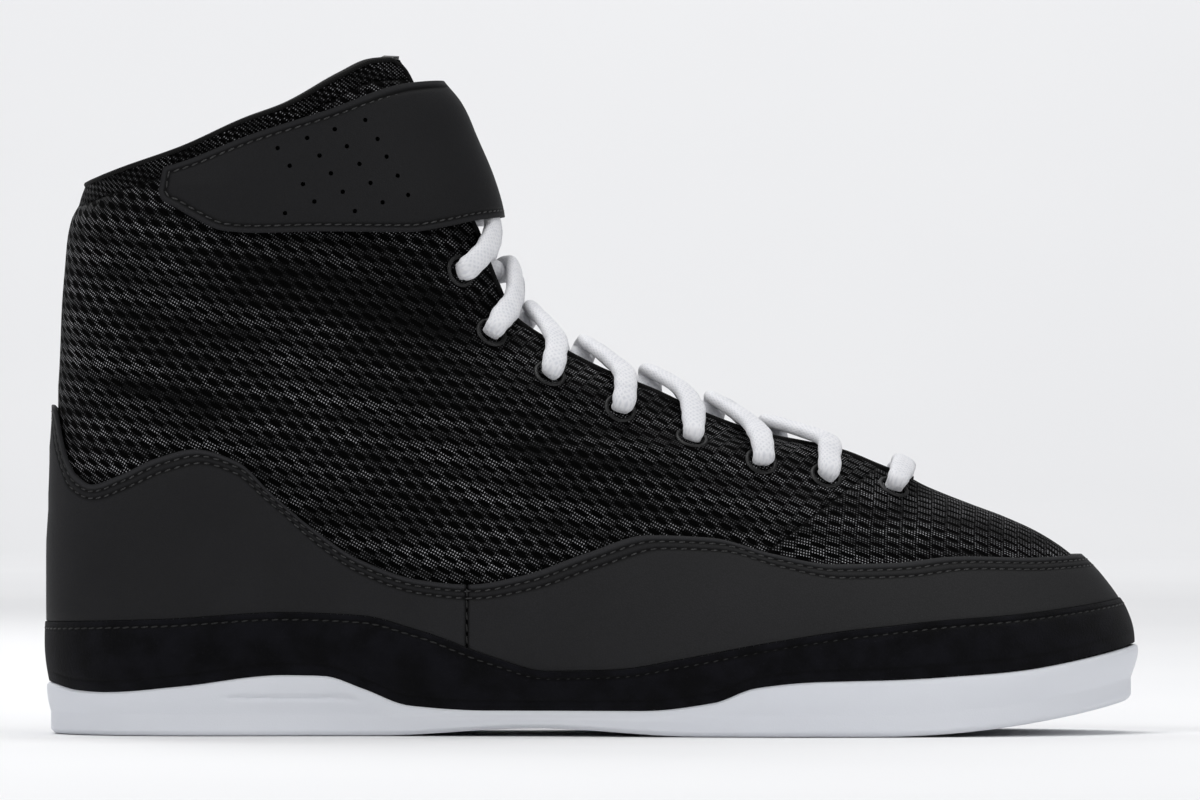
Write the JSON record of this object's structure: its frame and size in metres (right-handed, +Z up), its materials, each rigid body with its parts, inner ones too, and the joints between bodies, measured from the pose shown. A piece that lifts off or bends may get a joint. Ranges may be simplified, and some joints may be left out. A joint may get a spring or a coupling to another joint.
{
  "type": "wrestling shoe",
  "caption": "Right-foot high-top wrestling shoe: soft knit upper with side overlays, thin split cup sole, laced throat and a wraparound ankle strap",
  "frame": {"origin": "centre of the heel's flat spot, on the floor plane", "axes": "+X toward the toe, +Y toward the inner (medial) side, +Z up; the outer (lateral) side faces -Y"},
  "size_m": [0.2958, 0.0982, 0.1838],
  "materials": {
    "knit": "black knitted air mesh, matte",
    "overlay": "smooth charcoal synthetic leather, low sheen",
    "suede": "black napped suede, no sheen",
    "sole_rubber": "matte cool white rubber",
    "insole": "black cloth cover",
    "lace": "soft white flat-oval woven lace",
    "strap": "perforated charcoal synthetic leather",
    "binding": "smooth black edge tape"
  },
  "bodies": {
    "root": {"upper": "knit", "foxing_heel": "overlay", "foxing_toe": "overlay", "rand": "suede", "outsole": "sole_rubber", "insole": "insole", "tongue": "knit", "lace": "lace", "ankle_strap": "strap", "opening_binding": "binding"}
  },
  "joints": []
}
